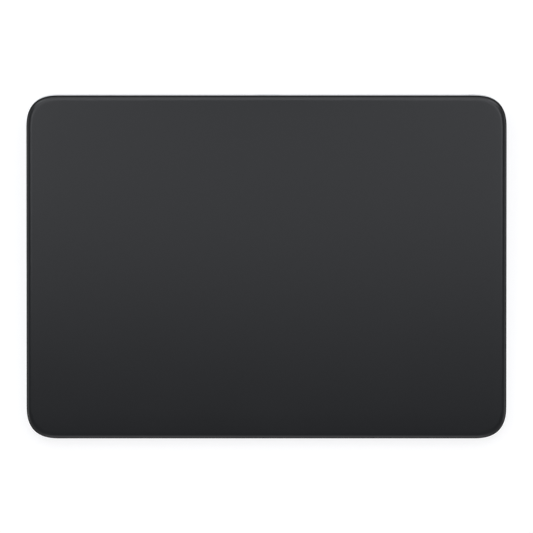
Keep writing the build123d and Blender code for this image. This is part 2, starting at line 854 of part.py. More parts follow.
def make_logic_chips():
    shield_x, shield_y = shield_span()
    high = (logic_top, logic_top + chip_height)
    radio_x = sum(shield_x) / 2
    radio_y = sum(shield_y) / 2
    half = radio_size / 2
    chips = [block((radio_x - half, radio_x + half), (radio_y - half, radio_y + half), high)]
    main_x = (shield_x[0] - chip_gap / 2 - chip_size, shield_x[0] - chip_gap / 2)
    chips.append(block(main_x, (radio_y - chip_size / 2, radio_y + chip_size / 2), high))
    small_y = (shield_y[0] - chip_gap - small_chip_size, shield_y[0] - chip_gap)
    for index in range(small_chip_count):
        x = shield_x[0] + index * small_chip_pitch
        chips.append(block((x, x + small_chip_size), small_y, high))
    return group(chips)


def make_logic_connectors():
    high = (logic_top, logic_top + connector_height)
    rear_y = (logic_y[1] - connector_depth, logic_y[1])
    front_y = (logic_y[0], logic_y[0] + connector_depth)
    side_y = (actuator_y - connector_width / 2, actuator_y + connector_width / 2)

    def wide(middle, width):
        return (middle - width / 2, middle + width / 2)

    return group([
        block(wide(lead_x, connector_width), rear_y, (logic_top, logic_top + battery_connector_height)),
        block(wide(port_connector_at, connector_width), rear_y, high),
        block(wide(touch_connector_at, touch_connector_width), front_y, high),
        block(wide(gauge_connector_at, connector_width), front_y, high),
        block(wide(cable_connector_at, cable_connector_width), front_y, high),
        block((logic_x[0], logic_x[0] + connector_depth), side_y, high),
        block((logic_x[1] - connector_depth, logic_x[1]), side_y, high),
    ])


# The flat cables, laid on the floor and folded up past the boards' edges

def lane(x, y, level=floor_top):
    return block(x, y, (level, level + flex_thickness))


def climb(middle, edge, way):
    """The end of a flat cable: up past a board's front or rear edge and on to the connector there."""
    x = (middle - flex_width / 2, middle + flex_width / 2)
    near = edge + way * flex_gap
    far = near + way * flex_thickness
    top = plug_level + flex_thickness / 2
    riser = block(x, sorted((near, far)), (floor_top, top))
    return riser + block(x, sorted((edge, far)), (top - flex_thickness, top))


def make_port_flex():
    half = flex_width / 2
    drop_y = (port_board_front - flex_gap - flex_thickness, port_board_front - flex_gap)
    top = port_board_top + flex_thickness
    cable = block((-half, half), (drop_y[0], port_board_front + flex_lap), (port_board_top, top))
    cable += block((-half, half), drop_y, (floor_top, top))
    cable += lane((-half, half), (port_lane_y[0], drop_y[1]))
    cable += lane((-half, port_connector_at + half), port_lane_y)
    branch_x = (port_connector_at - half, port_connector_at + half)
    cable += lane(branch_x, (logic_y[1] + flex_gap, port_lane_y[1]))
    return cable + climb(port_connector_at, logic_y[1], 1)


def make_gauge_flex():
    half = flex_width / 2
    cable = lane((-gauge_strip_x[1], gauge_strip_x[1]), gauge_lane_y)
    branch_x = (gauge_connector_at - half, gauge_connector_at + half)
    climb_y = (logic_y[0] - flex_gap - flex_thickness, logic_y[0] - flex_gap)
    cable += lane(branch_x, (min(gauge_lane_y[0], climb_y[0]), max(gauge_lane_y[1], climb_y[1])))
    cable += climb(gauge_connector_at, logic_y[0], -1)
    blade_edge = foot_u - blade_width / 2
    for side in (-1, 1):
        strip_x = sorted(side * x for x in gauge_strip_x)
        cable += lane(strip_x, gauge_strip_y)
        for end, y in zip((-1, 1), root_y):
            riser_x = sorted((side * (blade_edge - flex_gap), side * blade_edge))
            top = pad_level(y, blade_drop) + flex_thickness / 2
            cable += block(riser_x, (y - half, y + half), (floor_top, top))
            tab = Box(flex_gap + gauge_tab, flex_width, flex_thickness, align=upright)
            tab_x = -side * end * (blade_width + flex_gap - gauge_tab) / 2
            cable += at_corner(side, end, Pos(tab_x, -blade_length, 0) * tab, blade_drop)
    return cable


def make_switch_flex():
    half = flex_width / 2
    drop_y = (switch_board_front - flex_gap - flex_thickness, switch_board_front - flex_gap)
    top = switch_board_top + flex_thickness
    mid_x = (switch_x - half, switch_x + half)
    blade_side = foot_u + blade_width / 2 + switch_lane_gap
    right_x = (blade_side, blade_side + flex_width)
    cable = block(mid_x, (drop_y[0], switch_board_front + flex_lap), (switch_board_top, top))
    cable += block(mid_x, drop_y, (floor_top, top))
    cable += lane((mid_x[0], right_x[1]), (drop_y[1] - flex_width, drop_y[1]))
    cable += lane(right_x, (actuator_y - half, drop_y[1]))
    cross_y = (actuator_y - half, actuator_y + half)
    riser_x = (logic_x[1] + flex_gap, logic_x[1] + flex_gap + flex_thickness)
    high = plug_level + flex_thickness / 2
    cable += lane((riser_x[0], right_x[1]), cross_y, floor_top + flex_thickness)
    cable += block(riser_x, cross_y, (floor_top + flex_thickness, high))
    return cable + block((logic_x[1], riser_x[1]), cross_y, (high - flex_thickness, high))


def make_touch_flex():
    drop = stiffener_drop + touch_flex_thickness / 2
    far = logic_y[0] - touch_flex_reach
    back = far + touch_flex_bend + touch_flex_lap
    x = touch_connector_at
    points = [
        (x, logic_y[0], plug_level),
        (x, far, plug_level),
        (x, far, pad_level(far, drop)),
        (x, back, pad_level(back, drop)),
    ]
    path = FilletPolyline(*points, radius=touch_flex_bend)
    section = Rectangle(touch_connector_width - 2 * touch_flex_margin, touch_flex_thickness)
    return sweep(Plane(origin=path @ 0, x_dir=(1, 0, 0), z_dir=path % 0) * section, path=path)


# The magnet: an iron core on a bracket, with a winding on each leg

def make_bracket():
    size_x = bracket_x[1] - bracket_x[0]
    size_y = bracket_y[1] - bracket_y[0]
    plate = extrude(RectangleRounded(size_x, size_y, bracket_corner), amount=bracket_thickness)
    plate = Pos(sum(bracket_x) / 2, sum(bracket_y) / 2, boss_top) * plate
    return drilled(plate, bracket_screws_at, boss_top, bracket_top)


def make_core():
    core = block(core_bar_x, (actuator_y - core_reach, actuator_y + core_reach), (bracket_top, core_top))
    leg_z = (core_middle - core_leg_height / 2, core_middle + core_leg_height / 2)
    for y in leg_places:
        core += block((pole_x, core_bar_x[0]), (y - core_leg_width / 2, y + core_leg_width / 2), leg_z)
    return core


def make_coils():
    half = core_leg_width / 2
    hole_z = core_leg_height / 2 + coil_clearance
    coils = []
    for y in leg_places:
        coil = block(coil_x, (y - half - coil_side, y + half + coil_side), (bracket_top, core_top))
        hole_x = (coil_x[0] - cut_overrun, coil_x[1] + cut_overrun)
        hole_y = (y - half - coil_clearance, y + half + coil_clearance)
        coils.append(coil - block(hole_x, hole_y, (core_middle - hole_z, core_middle + hole_z)))
    return group(coils)


def make_coil_leads():
    leads = []
    for hand in (-1, 1):
        start_y = actuator_y + hand * (coil_reach - coil_side / 2)
        stop_y = actuator_y + hand * connector_width / 4
        points = [
            (coil_x[1], start_y, plug_level),
            (bracket_x[1], start_y, plug_level),
            (logic_x[0] - 2 * coil_lead_bend, stop_y, plug_level),
            (logic_x[0], stop_y, plug_level),
        ]
        leads.append(tube(points, coil_lead_radius, coil_lead_bend))
    return group(leads)


# The antenna: a folded track on a strip of board, and its coaxial cable

def make_antenna_board():
    x = (antenna_left, antenna_right)
    return block(x, (antenna_front, antenna_rear), (floor_top, antenna_top))


def make_antenna_track():
    z = (antenna_top, antenna_top + antenna_track_thickness)
    first = antenna_left + antenna_track
    last = antenna_right - 2 * antenna_track
    pitch = (last - first) / antenna_turns
    bar_y = (antenna_front + antenna_track, antenna_rear - antenna_track)
    track = []
    for index in range(antenna_turns + 1):
        x = first + index * pitch
        track.append(block((x, x + antenna_track), bar_y, z))
        if index < antenna_turns:
            link_y = bar_y[0] if index % 2 else bar_y[1] - antenna_track
            track.append(block((x, x + pitch + antenna_track), (link_y, link_y + antenna_track), z))
    return track[0].fuse(*track[1:])


def make_antenna_cable():
    x = cable_connector_at
    low = floor_top + flex_thickness + antenna_cable_lift + antenna_cable_radius
    turn = logic_y[0] - antenna_cable_gap
    points = [(x, antenna_rear, low), (x, turn, low), (x, turn, plug_level)]
    return tube(points + [(x, logic_y[0], plug_level)], antenna_cable_radius, antenna_cable_bend)


# All nodes by name

nodes = {
    "touch_glass": make_glass(),
    "glass_adhesive": on_pad(layer(layer_inset, adhesive_thickness), glass_thickness),
    "sensor_board": on_pad(layer(layer_inset, sensor_thickness), sensor_drop),
    "sensor_chips": make_sensor_chips(),
    "stiffener_plate": make_stiffener(),
    "armature": make_armature(),
    "armature_screws": make_armature_screws(),
    "tip_plates": make_tip_plates(),
    "gel_pads": make_gel_pads(),
    "tip_screws": make_tip_screws(),
    "blade_screws": make_blade_screws(),
    "strain_gauges": make_strain_gauges(),
    "bottom_case": make_case(),
    "port_shell": make_port_shell(),
    "port_tongue": make_port_tongue(),
    "port_contacts": make_port_contacts(),
    "port_gasket": make_port_gasket(),
    "port_board": make_port_board(),
    "port_clamp": make_port_clamp(),
    "port_screws": upright_screws(port_screws_at, port_board_under, port_board_top + clamp_thickness),
    "port_flex": make_port_flex(),
    "switch_knob": make_switch_knob(),
    "switch_indicator": make_switch_indicator(),
    "switch_lever": make_switch_lever(),
    "switch_housing": make_switch_housing(),
    "switch_board": make_switch_board(),
    "switch_screws": upright_screws(switch_screws_at, switch_board_under, switch_board_top),
    "switch_flex": make_switch_flex(),
    "battery_cell_left": make_cell(-1),
    "battery_cell_right": make_cell(1),
    "cell_adhesive": make_cell_adhesive(),
    "battery_board": make_battery_board(),
    "battery_chips": make_battery_chips(),
    "battery_tabs": make_battery_tabs(),
    "battery_leads": make_battery_leads(),
    "logic_board": make_logic_board(),
    "logic_shield": make_logic_shield(),
    "logic_chips": make_logic_chips(),
    "logic_connectors": make_logic_connectors(),
    "logic_screws": upright_screws(logic_screws_at, boss_top, logic_top),
    "gauge_flex": make_gauge_flex(),
    "touch_flex": make_touch_flex(),
    "actuator_bracket": make_bracket(),
    "actuator_core": make_core(),
    "actuator_coils": make_coils(),
    "actuator_screws": upright_screws(bracket_screws_at, boss_top, bracket_top),
    "coil_leads": make_coil_leads(),
    "antenna_board": make_antenna_board(),
    "antenna_track": make_antenna_track(),
    "antenna_cable": make_antenna_cable(),
}
for name, (side, end) in corners.items():
    nodes["blade_" + name] = make_blade(side, end)
    nodes["foot_" + name] = make_foot(side, end)

os.makedirs("parts", exist_ok=True)
for name, shape in nodes.items():
    export_step(shape, f"parts/{name}.step")
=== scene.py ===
import json
from math import asin, cos, pi, radians, sin, tan

import bmesh
import bpy
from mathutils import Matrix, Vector


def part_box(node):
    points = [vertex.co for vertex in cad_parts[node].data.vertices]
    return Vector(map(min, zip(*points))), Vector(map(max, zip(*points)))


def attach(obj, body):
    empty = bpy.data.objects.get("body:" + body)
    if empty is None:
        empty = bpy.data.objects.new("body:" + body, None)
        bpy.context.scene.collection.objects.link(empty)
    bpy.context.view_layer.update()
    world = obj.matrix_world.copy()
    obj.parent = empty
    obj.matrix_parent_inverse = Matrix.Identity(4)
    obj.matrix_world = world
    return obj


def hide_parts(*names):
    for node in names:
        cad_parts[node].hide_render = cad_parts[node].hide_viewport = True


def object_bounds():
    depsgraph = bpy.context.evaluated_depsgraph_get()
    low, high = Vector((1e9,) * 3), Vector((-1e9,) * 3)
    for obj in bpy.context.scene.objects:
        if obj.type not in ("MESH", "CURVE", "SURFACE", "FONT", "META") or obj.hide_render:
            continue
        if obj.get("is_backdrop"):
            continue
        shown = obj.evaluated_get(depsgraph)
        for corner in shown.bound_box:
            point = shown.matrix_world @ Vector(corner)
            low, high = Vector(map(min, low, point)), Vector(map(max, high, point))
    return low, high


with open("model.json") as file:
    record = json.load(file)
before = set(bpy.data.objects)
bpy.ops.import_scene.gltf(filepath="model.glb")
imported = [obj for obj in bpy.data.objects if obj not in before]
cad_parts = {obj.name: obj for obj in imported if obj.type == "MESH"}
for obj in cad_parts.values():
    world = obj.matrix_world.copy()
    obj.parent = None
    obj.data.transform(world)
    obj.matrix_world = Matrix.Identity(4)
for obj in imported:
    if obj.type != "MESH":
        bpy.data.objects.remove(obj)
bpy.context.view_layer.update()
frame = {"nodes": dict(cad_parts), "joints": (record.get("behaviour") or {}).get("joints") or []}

# A wireless desk trackpad: black etched glass over a silver aluminium wedge. The sections follow
# the order in which it is put together, from the case to the glass. Sizes are in millimetres
# times mm, since Blender works in metres. X runs to the right, Y to the rear and Z up.
mm = 0.001


# Bottom case
# A wedge milled from one slab of aluminium, with walls square to the sloping glass and a level
# floor. It is bead blasted and anodised in silver. Its rim stops just short of the glass, so
# that the pad can sink and shake. Posts and blocks for the inner parts stand on its floor.

press = next(joint for joint in frame["joints"] if joint["name"] == "pad_press")
tilt = asin(press["axis"][1])
pad_normal = Vector((0, -sin(tilt), cos(tilt)))
pad_rearward = Vector((0, cos(tilt), sin(tilt)))
glass_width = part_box("touch_glass")[1].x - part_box("touch_glass")[0].x
glass_depth = 114.6 * mm
sensor_middle_drop = 1.6 * mm
pad_middle = sum(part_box("sensor_board"), Vector()) / 2 + pad_normal * sensor_middle_drop
corner_reach = 11.25 * mm
corner_fullness = 0.593
corner_steps = 18
case_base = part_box("bottom_case")[0].z
case_floor_top = case_base + 0.9 * mm
case_inset = 0.1 * mm
case_wall = 1.4 * mm
case_slab = 12 * mm
rim_drop = 1.6 * mm
rim_edge = 0.12 * mm
hole_edge = 0.07 * mm
bottom_radius = 1.2 * mm
cut_overrun = 0.5 * mm
upward = Vector((0, 0, 1))
rearward = Vector((0, 1, 0))
port_height = 4.8 * mm
port_cut = (9.12 * mm, 3.34 * mm)
switch_middle_x = 67.4 * mm
switch_cut = (4.9 * mm, 2.1 * mm)
switch_travel = 2.3 * mm
flange_thickness = 0.4 * mm
flange_play = 0.25 * mm
screw_head_radius = 1.25 * mm
screw_hole_radius = 0.75 * mm
post_radius = 1.75 * mm
blade_stack_drop = 3.55 * mm
foot_from_end = 14.3 * mm
root_from_tip = 16 * mm
root_block = (9 * mm, 6 * mm)
root_screw_pitch = 5.2 * mm
root_hole_depth = 1.4 * mm
foot_radius = 5.4 * mm
foot_play = 0.15 * mm
foot_recess = 0.4 * mm
access_radius = 2.4 * mm

# Points closer than near count as one. A face looks a way if its normal passes the share facing.
near = 0.01 * mm
facing = 0.5


def start_mesh(name):
    """Names the primitive that was just added, and opens it in edit mode."""
    piece = bpy.context.active_object
    piece.name = piece.data.name = name
    bpy.ops.object.mode_set(mode="EDIT")
    return piece


def work_on(piece, mode="OBJECT"):
    """Makes a piece the only selected object, in object or edit mode."""
    bpy.ops.object.select_all(action="DESELECT")
    bpy.context.view_layer.objects.active = piece
    piece.select_set(True)
    bpy.ops.object.mode_set(mode=mode)


def pick(kind, wanted):
    """In edit mode, selects the verts, edges or faces that a test accepts, and nothing else."""
    bpy.ops.mesh.select_mode(type={"verts": "VERT", "edges": "EDGE", "faces": "FACE"}[kind])
    bpy.ops.mesh.select_all(action="DESELECT")
    mesh = bmesh.from_edit_mesh(bpy.context.object.data)
    for item in getattr(mesh, kind):
        if wanted(item):
            item.select_set(True)
    mesh.select_flush_mode()
    bmesh.update_edit_mesh(bpy.context.object.data)


def ends_at(edge, point, way):
    """Whether both ends of an edge lie on the plane through a point, square to a direction."""
    return all(abs((vert.co - point).dot(way)) < near for vert in edge.verts)


def bevel_edges(piece, wanted, size, steps):
    """Rounds the edges that a test accepts."""
    work_on(piece, "EDIT")
    pick("edges", wanted)
    bpy.ops.mesh.bevel(offset=size, segments=steps, clamp_overlap=False)
    bpy.ops.object.mode_set(mode="OBJECT")


def extrude(way):
    """Extrudes what is selected."""
    bpy.ops.mesh.extrude_region_move(TRANSFORM_OT_translate={"value": tuple(way)})


def turn_outward():
    """Points every face outward, after near verts are merged, and leaves edit mode."""
    bpy.ops.mesh.select_all(action="SELECT")
    bpy.ops.mesh.remove_doubles(threshold=near)
    bpy.ops.mesh.normals_make_consistent(inside=False)
    bpy.ops.object.mode_set(mode="OBJECT")


def eased_outline(name, inset, z=0):
    """One face with the glass's outline moved in by inset and its corners eased, in edit mode."""
    bpy.ops.object.select_all(action="DESELECT")
    bpy.ops.mesh.primitive_plane_add(size=1, location=(0, 0, z))
    bpy.context.active_object.scale = (glass_width - 2 * inset, glass_depth - 2 * inset, 1)
    bpy.ops.object.transform_apply(location=True, scale=True)
    face = start_mesh(name)
    bpy.ops.mesh.select_all(action="SELECT")
    curve = {"segments": corner_steps, "profile": corner_fullness}
    bpy.ops.mesh.bevel(offset=corner_reach - inset, affect="VERTICES", **curve)
    bpy.ops.mesh.select_all(action="SELECT")
    return face


def eased_plate(name, inset, thickness, top=0):
    """A plate of the glass's outline moved in by inset, with its top at a level."""
    plate = eased_outline(name, inset, top)
    extrude((0, 0, -thickness))
    turn_outward()
    return plate


def lay_on_pad(piece, drop, x=0, v=0):
    """Turns a piece made flat into the pad's slope, at a place and a drop below the glass's top."""
    work_on(piece)
    piece.rotation_euler.x = tilt
    piece.location = pad_middle - pad_normal * drop + pad_rearward * v + Vector((x, 0, 0))
    bpy.ops.object.transform_apply(location=True, rotation=True)


def cut_level(piece, z):
    """Takes away what lies below a level, and closes the cut."""
    work_on(piece, "EDIT")
    bpy.ops.mesh.select_all(action="SELECT")
    bpy.ops.mesh.bisect(plane_co=(0, 0, z), plane_no=(0, 0, 1), use_fill=True, clear_inner=True)
    turn_outward()


def peg(x, y, low, high, radius, sides=48):
    """An upright round peg between two levels."""
    bpy.ops.object.select_all(action="DESELECT")
    middle = (x, y, (low + high) / 2)
    height = high - low
    bpy.ops.mesh.primitive_cylinder_add(vertices=sides, radius=radius, depth=height, location=middle)
    bpy.ops.object.transform_apply(location=True)
    return bpy.context.active_object


def block(low, high):
    """A box between two corners."""
    bpy.ops.object.select_all(action="DESELECT")
    low, high = Vector(low), Vector(high)
    bpy.ops.mesh.primitive_cube_add(size=1, location=(low + high) / 2)
    bpy.context.active_object.scale = high - low
    bpy.ops.object.transform_apply(location=True, scale=True)
    return bpy.context.active_object


def stadium(name, width, height, depth, x, rear, z, steps=40):
    """A bar with half-round ends as seen from behind, from its rear end towards the front."""
    bpy.ops.object.select_all(action="DESELECT")
    bpy.ops.mesh.primitive_circle_add(vertices=steps, radius=height / 2, fill_type="NGON")
    bar = start_mesh(name)
    for side in (-1, 1):
        pick("verts", lambda vert: vert.co.x * side > near)
        bpy.ops.transform.translate(value=(side * (width - height) / 2, 0, 0))
    bpy.ops.mesh.select_all(action="SELECT")
    extrude((0, 0, depth))
    turn_outward()
    bar.rotation_euler.x = pi / 2
    bar.location = (x, rear, z)
    bpy.ops.object.transform_apply(location=True, rotation=True)
    return bar


def combine(piece, tool, how):
    """Cuts a tool out of a piece with DIFFERENCE, or joins it on with UNION."""
    work_on(piece)
    step = piece.modifiers.new(how, "BOOLEAN")
    step.operation = how
    step.object = tool
    bpy.ops.object.modifier_apply(modifier=how)
    bpy.data.objects.remove(tool)


def smooth(piece, sharpest=40):
    """Shades a piece smooth except over its sharp edges, and keeps its flat faces flat."""
    work_on(piece)
    bpy.ops.object.shade_smooth_by_angle(angle=radians(sharpest))
    step = piece.modifiers.new("even_normals", "WEIGHTED_NORMAL")
    step.keep_sharp = True
    bpy.ops.object.modifier_apply(modifier=step.name)


def screw_places(node, count=4):
    """The middles of a node's screws, which stand at the corners of its box, from the right on."""
    low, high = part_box(node)
    left, right = low.x + screw_head_radius, high.x - screw_head_radius
    front, rear = low.y + screw_head_radius, high.y - screw_head_radius
    return [(right, rear), (right, front), (left, front), (left, rear)][:count]


def linear(code):
    """Turns an sRGB hex colour into the linear values that Blender works in."""
    shares = [int(code[place:place + 2], 16) / 255 for place in (1, 3, 5)]
    return [c / 12.92 if c <= 0.04045 else ((c + 0.055) / 1.055) ** 2.4 for c in shares] + [1]


def add_node(tree, kind, sockets=(), **settings):
    """Adds a node with its settings, and fills its sockets with values or other nodes' outputs."""
    node = tree.nodes.new("ShaderNode" + kind)
    for name, value in settings.items():
        setattr(node, name, value)
    for socket, value in dict(sockets).items():
        if isinstance(value, bpy.types.NodeSocket):
            tree.links.new(value, node.inputs[socket])
        else:
            node.inputs[socket].default_value = value
    return node


# A Mix node has several sockets of one name, so they go by their place: the share, the two colours
# or the two numbers, and among the outputs the mixed colour and the mixed number.
mix_share = 0
first_colour, second_colour, mixed_colour = 6, 7, 2
first_number, second_number, mixed_number = 2, 3, 0


def start_material(name, **values):
    """A new material with steady values. Returns it, its tree, shader and coordinates."""
    material = bpy.data.materials.new(name)
    material.use_nodes = True
    tree = material.node_tree
    shader = tree.nodes["Principled BSDF"]
    for socket, value in values.items():
        shader.inputs[socket.replace("_", " ")].default_value = value
    coordinates = add_node(tree, "TexCoord").outputs["Object"]
    return material, tree, shader, coordinates


def connect(tree, shader, colour, roughness, bump):
    """Joins a finish's colour, roughness and relief to its shader."""
    for socket, value in (("Base Color", colour), ("Roughness", roughness), ("Normal", bump)):
        tree.links.new(value, shader.inputs[socket])


def grained(name, shades, patch, rough, grit, relief, stretch=(1, 1, 1), **values):
    """A finish in two shades that drift over patches, with a fine relief as coarse as its grit."""
    material, tree, shader, coordinates = start_material(name, **values)
    way = add_node(tree, "Mapping", {"Vector": coordinates, "Scale": stretch}).outputs[0]
    drift = add_node(tree, "TexNoise", {"Vector": way, "Scale": 1 / patch, "Detail": 3}).outputs[0]
    mix = {mix_share: drift, first_colour: linear(shades[0]), second_colour: linear(shades[1])}
    colour = add_node(tree, "Mix", mix, data_type="RGBA").outputs[mixed_colour]
    span = {"Value": drift, "To Min": rough[0], "To Max": rough[1]}
    roughness = add_node(tree, "MapRange", span).outputs[0]
    grains = add_node(tree, "TexNoise", {"Vector": way, "Scale": 1 / grit, "Detail": 2}).outputs[0]
    bump = add_node(tree, "Bump", {"Distance": relief, "Height": grains}).outputs[0]
    connect(tree, shader, colour, roughness, bump)
    return material


def dress(material, *nodes):
    """Gives a material to CAD nodes that keep their own shape."""
    for node in nodes:
        for place in frame["nodes"][node].material_slots:
            place.material = material


# Anodised aluminium, bead blasted first: a bright satin metal with no direction to its shine. The
# blast's real grain of 0.05 mm is too fine to show and is drawn at 0.25 mm.
anodised_aluminium = grained(
    "anodised_aluminium", ("#CDD0D3", "#D3D6D8"), patch=9 * mm, rough=(0.33, 0.39),
    grit=0.25 * mm, relief=0.004 * mm, Metallic=1,
)

case = eased_plate("case_shell", case_inset, case_slab)
lay_on_pad(case, rim_drop)
cut_level(case, case_base)
bevel_edges(case, lambda edge: ends_at(edge, upward * case_base, upward), bottom_radius, steps=8)
cavity = eased_plate("cavity", case_inset + case_wall, case_slab)
lay_on_pad(cavity, rim_drop - cut_overrun)
cut_level(cavity, case_floor_top)
combine(case, cavity, "DIFFERENCE")

post_places = [
    (screw_places("port_screws"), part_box("port_board")[0].z),
    (screw_places("switch_screws"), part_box("switch_board")[0].z),
    (screw_places("logic_screws", count=3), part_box("logic_board")[0].z),
    (screw_places("actuator_screws"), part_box("actuator_bracket")[0].z),
]
for places, top in post_places:
    for x, y in sorted(set(places)):
        combine(case, peg(x, y, case_floor_top - cut_overrun, top, post_radius), "UNION")
        combine(case, peg(x, y, case_floor_top, top + cut_overrun, screw_hole_radius), "DIFFERENCE")

foot_names = [name for name in sorted(frame["nodes"]) if name.startswith("foot_")]
foot_middles = {name: sum(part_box(name), Vector()) / 2 for name in foot_names}
for foot in foot_middles.values():
    x, y = foot.x, foot.y
    root_v = (1 if y > 0 else -1) * (glass_depth / 2 - foot_from_end - root_from_tip)
    half_width, half_depth = root_block[0] / 2, root_block[1] / 2
    root = block((-half_width, -half_depth, -case_slab), (half_width, half_depth, 0))
    lay_on_pad(root, blade_stack_drop, x, root_v)
    cut_level(root, case_floor_top - cut_overrun)
    combine(case, root, "UNION")
    for side in (-1, 1):
        hole = peg(side * root_screw_pitch / 2, 0, -root_hole_depth, cut_overrun, screw_hole_radius)
        lay_on_pad(hole, blade_stack_drop, x, root_v)
        combine(case, hole, "DIFFERENCE")
    recess_top = case_base + foot_recess
    recess = peg(x, y, -cut_overrun, recess_top, foot_radius + foot_play, sides=72)
    combine(case, recess, "DIFFERENCE")
    combine(case, peg(x, y, 0, case_floor_top + cut_overrun, access_radius), "DIFFERENCE")

rear_v = glass_depth / 2 - case_inset
rear_point = pad_middle + pad_rearward * rear_v
rear_face = rear_point.y - (port_height - rear_point.z) * tan(tilt)
through = case_wall + 2 * cut_overrun
for x, size in ((0, port_cut), (switch_middle_x, switch_cut)):
    hole = stadium("hole", *size, through, x, rear_face + cut_overrun, port_height)
    combine(case, hole, "DIFFERENCE")
flange_low, flange_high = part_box("switch_knob")
flange_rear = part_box("switch_lever")[1].y + flange_thickness
pocket_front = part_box("switch_housing")[1].y + flange_play
pocket_low = Vector((flange_low.x - switch_travel, pocket_front, flange_low.z))
pocket_high = Vector((flange_high.x, flange_rear, flange_high.z))
play = Vector((1, 1, 1)) * flange_play
combine(case, block(pocket_low - play, pocket_high + play), "DIFFERENCE")


def on_case_rim(edge):
    """The rim's inner and outer edges, which lie between its face and a wall."""
    meets_wall = any(abs(face.normal.dot(pad_normal)) < sin(tilt) for face in edge.link_faces)
    return meets_wall and ends_at(edge, pad_middle - pad_normal * rim_drop, pad_normal)


def on_rear_hole(edge):
    """The edges where the holes for the socket and the switch meet the rear face."""
    middle = (edge.verts[0].co + edge.verts[1].co) / 2
    in_port = abs(middle.x) < port_cut[0] / 2 + near
    in_switch = abs(middle.x - switch_middle_x) < switch_cut[0] / 2 + near
    level = abs(middle.z - port_height) < port_cut[1] / 2 + near
    return level and (in_port or in_switch) and ends_at(edge, rear_point, pad_rearward)


bevel_edges(case, on_case_rim, rim_edge, steps=2)
bevel_edges(case, on_rear_hole, hole_edge, steps=2)
smooth(case)
case.data.materials.append(anodised_aluminium)
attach(case, "base")
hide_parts("bottom_case")


# Feet
# Four discs of grey polyurethane, moulded with a rounded edge and glued into recesses under the
# corners. They grip the desk, and cover the holes through which the blades' tips are screwed.

foot_edge_radius = 0.25 * mm
foot_ring = 0.9 * mm
foot_dish = 0.03 * mm

# Moulded polyurethane: matt and slightly uneven. The mould's texture of 0.1 mm is drawn at 0.2 mm.
moulded_polyurethane = grained(
    "moulded_polyurethane", ("#8A8C90", "#96989C"), patch=3 * mm, rough=(0.62, 0.75),
    grit=0.2 * mm, relief=0.008 * mm,
)

first_name = foot_names[0]
first_low, first_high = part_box(first_name)
bpy.ops.object.select_all(action="DESELECT")
bpy.ops.mesh.primitive_cylinder_add(
    vertices=96,
    radius=foot_radius,
    depth=first_high.z - first_low.z,
    location=foot_middles[first_name],
)
bpy.ops.object.transform_apply(location=True)
first_foot = start_mesh("foot_pad")
pick("faces", lambda face: face.normal.z < -facing)
bpy.ops.mesh.inset(thickness=foot_ring)
bpy.ops.mesh.inset(thickness=foot_dish)
bpy.ops.transform.translate(value=(0, 0, foot_dish))
bpy.ops.object.mode_set(mode="OBJECT")
outer = foot_radius - near


def on_sole_edge(edge):
    """The edge around the foot's sole."""
    radii = [(vert.co - foot_middles[first_name]).xy.length for vert in edge.verts]
    return min(radii) > outer and ends_at(edge, upward * first_low.z, upward)


bevel_edges(first_foot, on_sole_edge, foot_edge_radius, steps=5)
for name, middle in foot_middles.items():
    foot = first_foot.copy()
    foot.data = first_foot.data.copy()
    bpy.context.collection.objects.link(foot)
    foot.name = foot.data.name = name.replace("foot_", "foot_pad_")
    foot.location = middle - foot_middles[first_name]
    work_on(foot)
    bpy.ops.object.transform_apply(location=True)
    smooth(foot)
    foot.data.materials.append(moulded_polyurethane)
    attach(foot, "base")
    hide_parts(name)
bpy.data.objects.remove(first_foot)


# Socket
# A steel shell drawn to a flat oval, with a moulded plastic tongue that carries 24 gold contacts.
# It is soldered to a small board, held by a clamp with two screws, and a rubber gasket seals it
# against the rear wall. The photograph shows only its width, so its form is the usual one.

shell_width = 8.94 * mm
shell_height = 3.16 * mm
shell_wall = 0.3 * mm
shell_lip = 0.12 * mm
tongue_width = 6.69 * mm
tongue_thickness = 0.7 * mm
tongue_base_length = 2.3 * mm
tongue_base = (8.28 * mm, 2.5 * mm)
tongue_chamfer = 0.15 * mm

# Nickel-plated steel sheet: a warm grey metal, with fine drawing marks along the shell.
nickel_plated_steel = grained(
    "nickel_plated_steel", ("#B4B1AA", "#C2BFB8"), patch=4 * mm, rough=(0.22, 0.32),
    grit=0.15 * mm, relief=0.002 * mm, stretch=(1, 0.12, 1), Metallic=1,
)

# Liquid crystal polymer: a dull black moulding with faint flow marks.
moulded_black_plastic = grained(
    "moulded_black_plastic", ("#131415", "#1B1C1E"), patch=2 * mm, rough=(0.42, 0.55),
    grit=0.12 * mm, relief=0.004 * mm,
)

# Gold plating: a soft yellow shine over the stamped contacts.
gold_plating = grained(
    "gold_plating", ("#D8A84E", "#E6BC66"), patch=0.8 * mm, rough=(0.2, 0.3),
    grit=0.1 * mm, relief=0.001 * mm, Metallic=1,
)

# Silicone rubber: black and matt.
silicone_rubber = grained(
    "silicone_rubber", ("#18191A", "#202123"), patch=2 * mm, rough=(0.7, 0.85),
    grit=0.15 * mm, relief=0.006 * mm,
)

shell_low, shell_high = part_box("port_shell")
shell_depth = shell_high.y - shell_low.y
shell = stadium(
    "socket_shell", shell_width, shell_height, shell_depth, 0, shell_high.y, port_height, steps=64
)
work_on(shell, "EDIT")
pick("faces", lambda face: abs(face.normal.y) > facing)
bpy.ops.mesh.delete(type="FACE")
bpy.ops.object.mode_set(mode="OBJECT")
wall = shell.modifiers.new("wall", "SOLIDIFY")
wall.thickness = shell_wall
wall.offset = -1
wall.use_even_offset = True
bpy.ops.object.modifier_apply(modifier="wall")


def on_shell_lip(edge):
    """The edges of the shell's mouth, where its rear end meets its walls."""
    meets_wall = any(abs(face.normal.y) < facing for face in edge.link_faces)
    return meets_wall and ends_at(edge, shell_high, rearward)


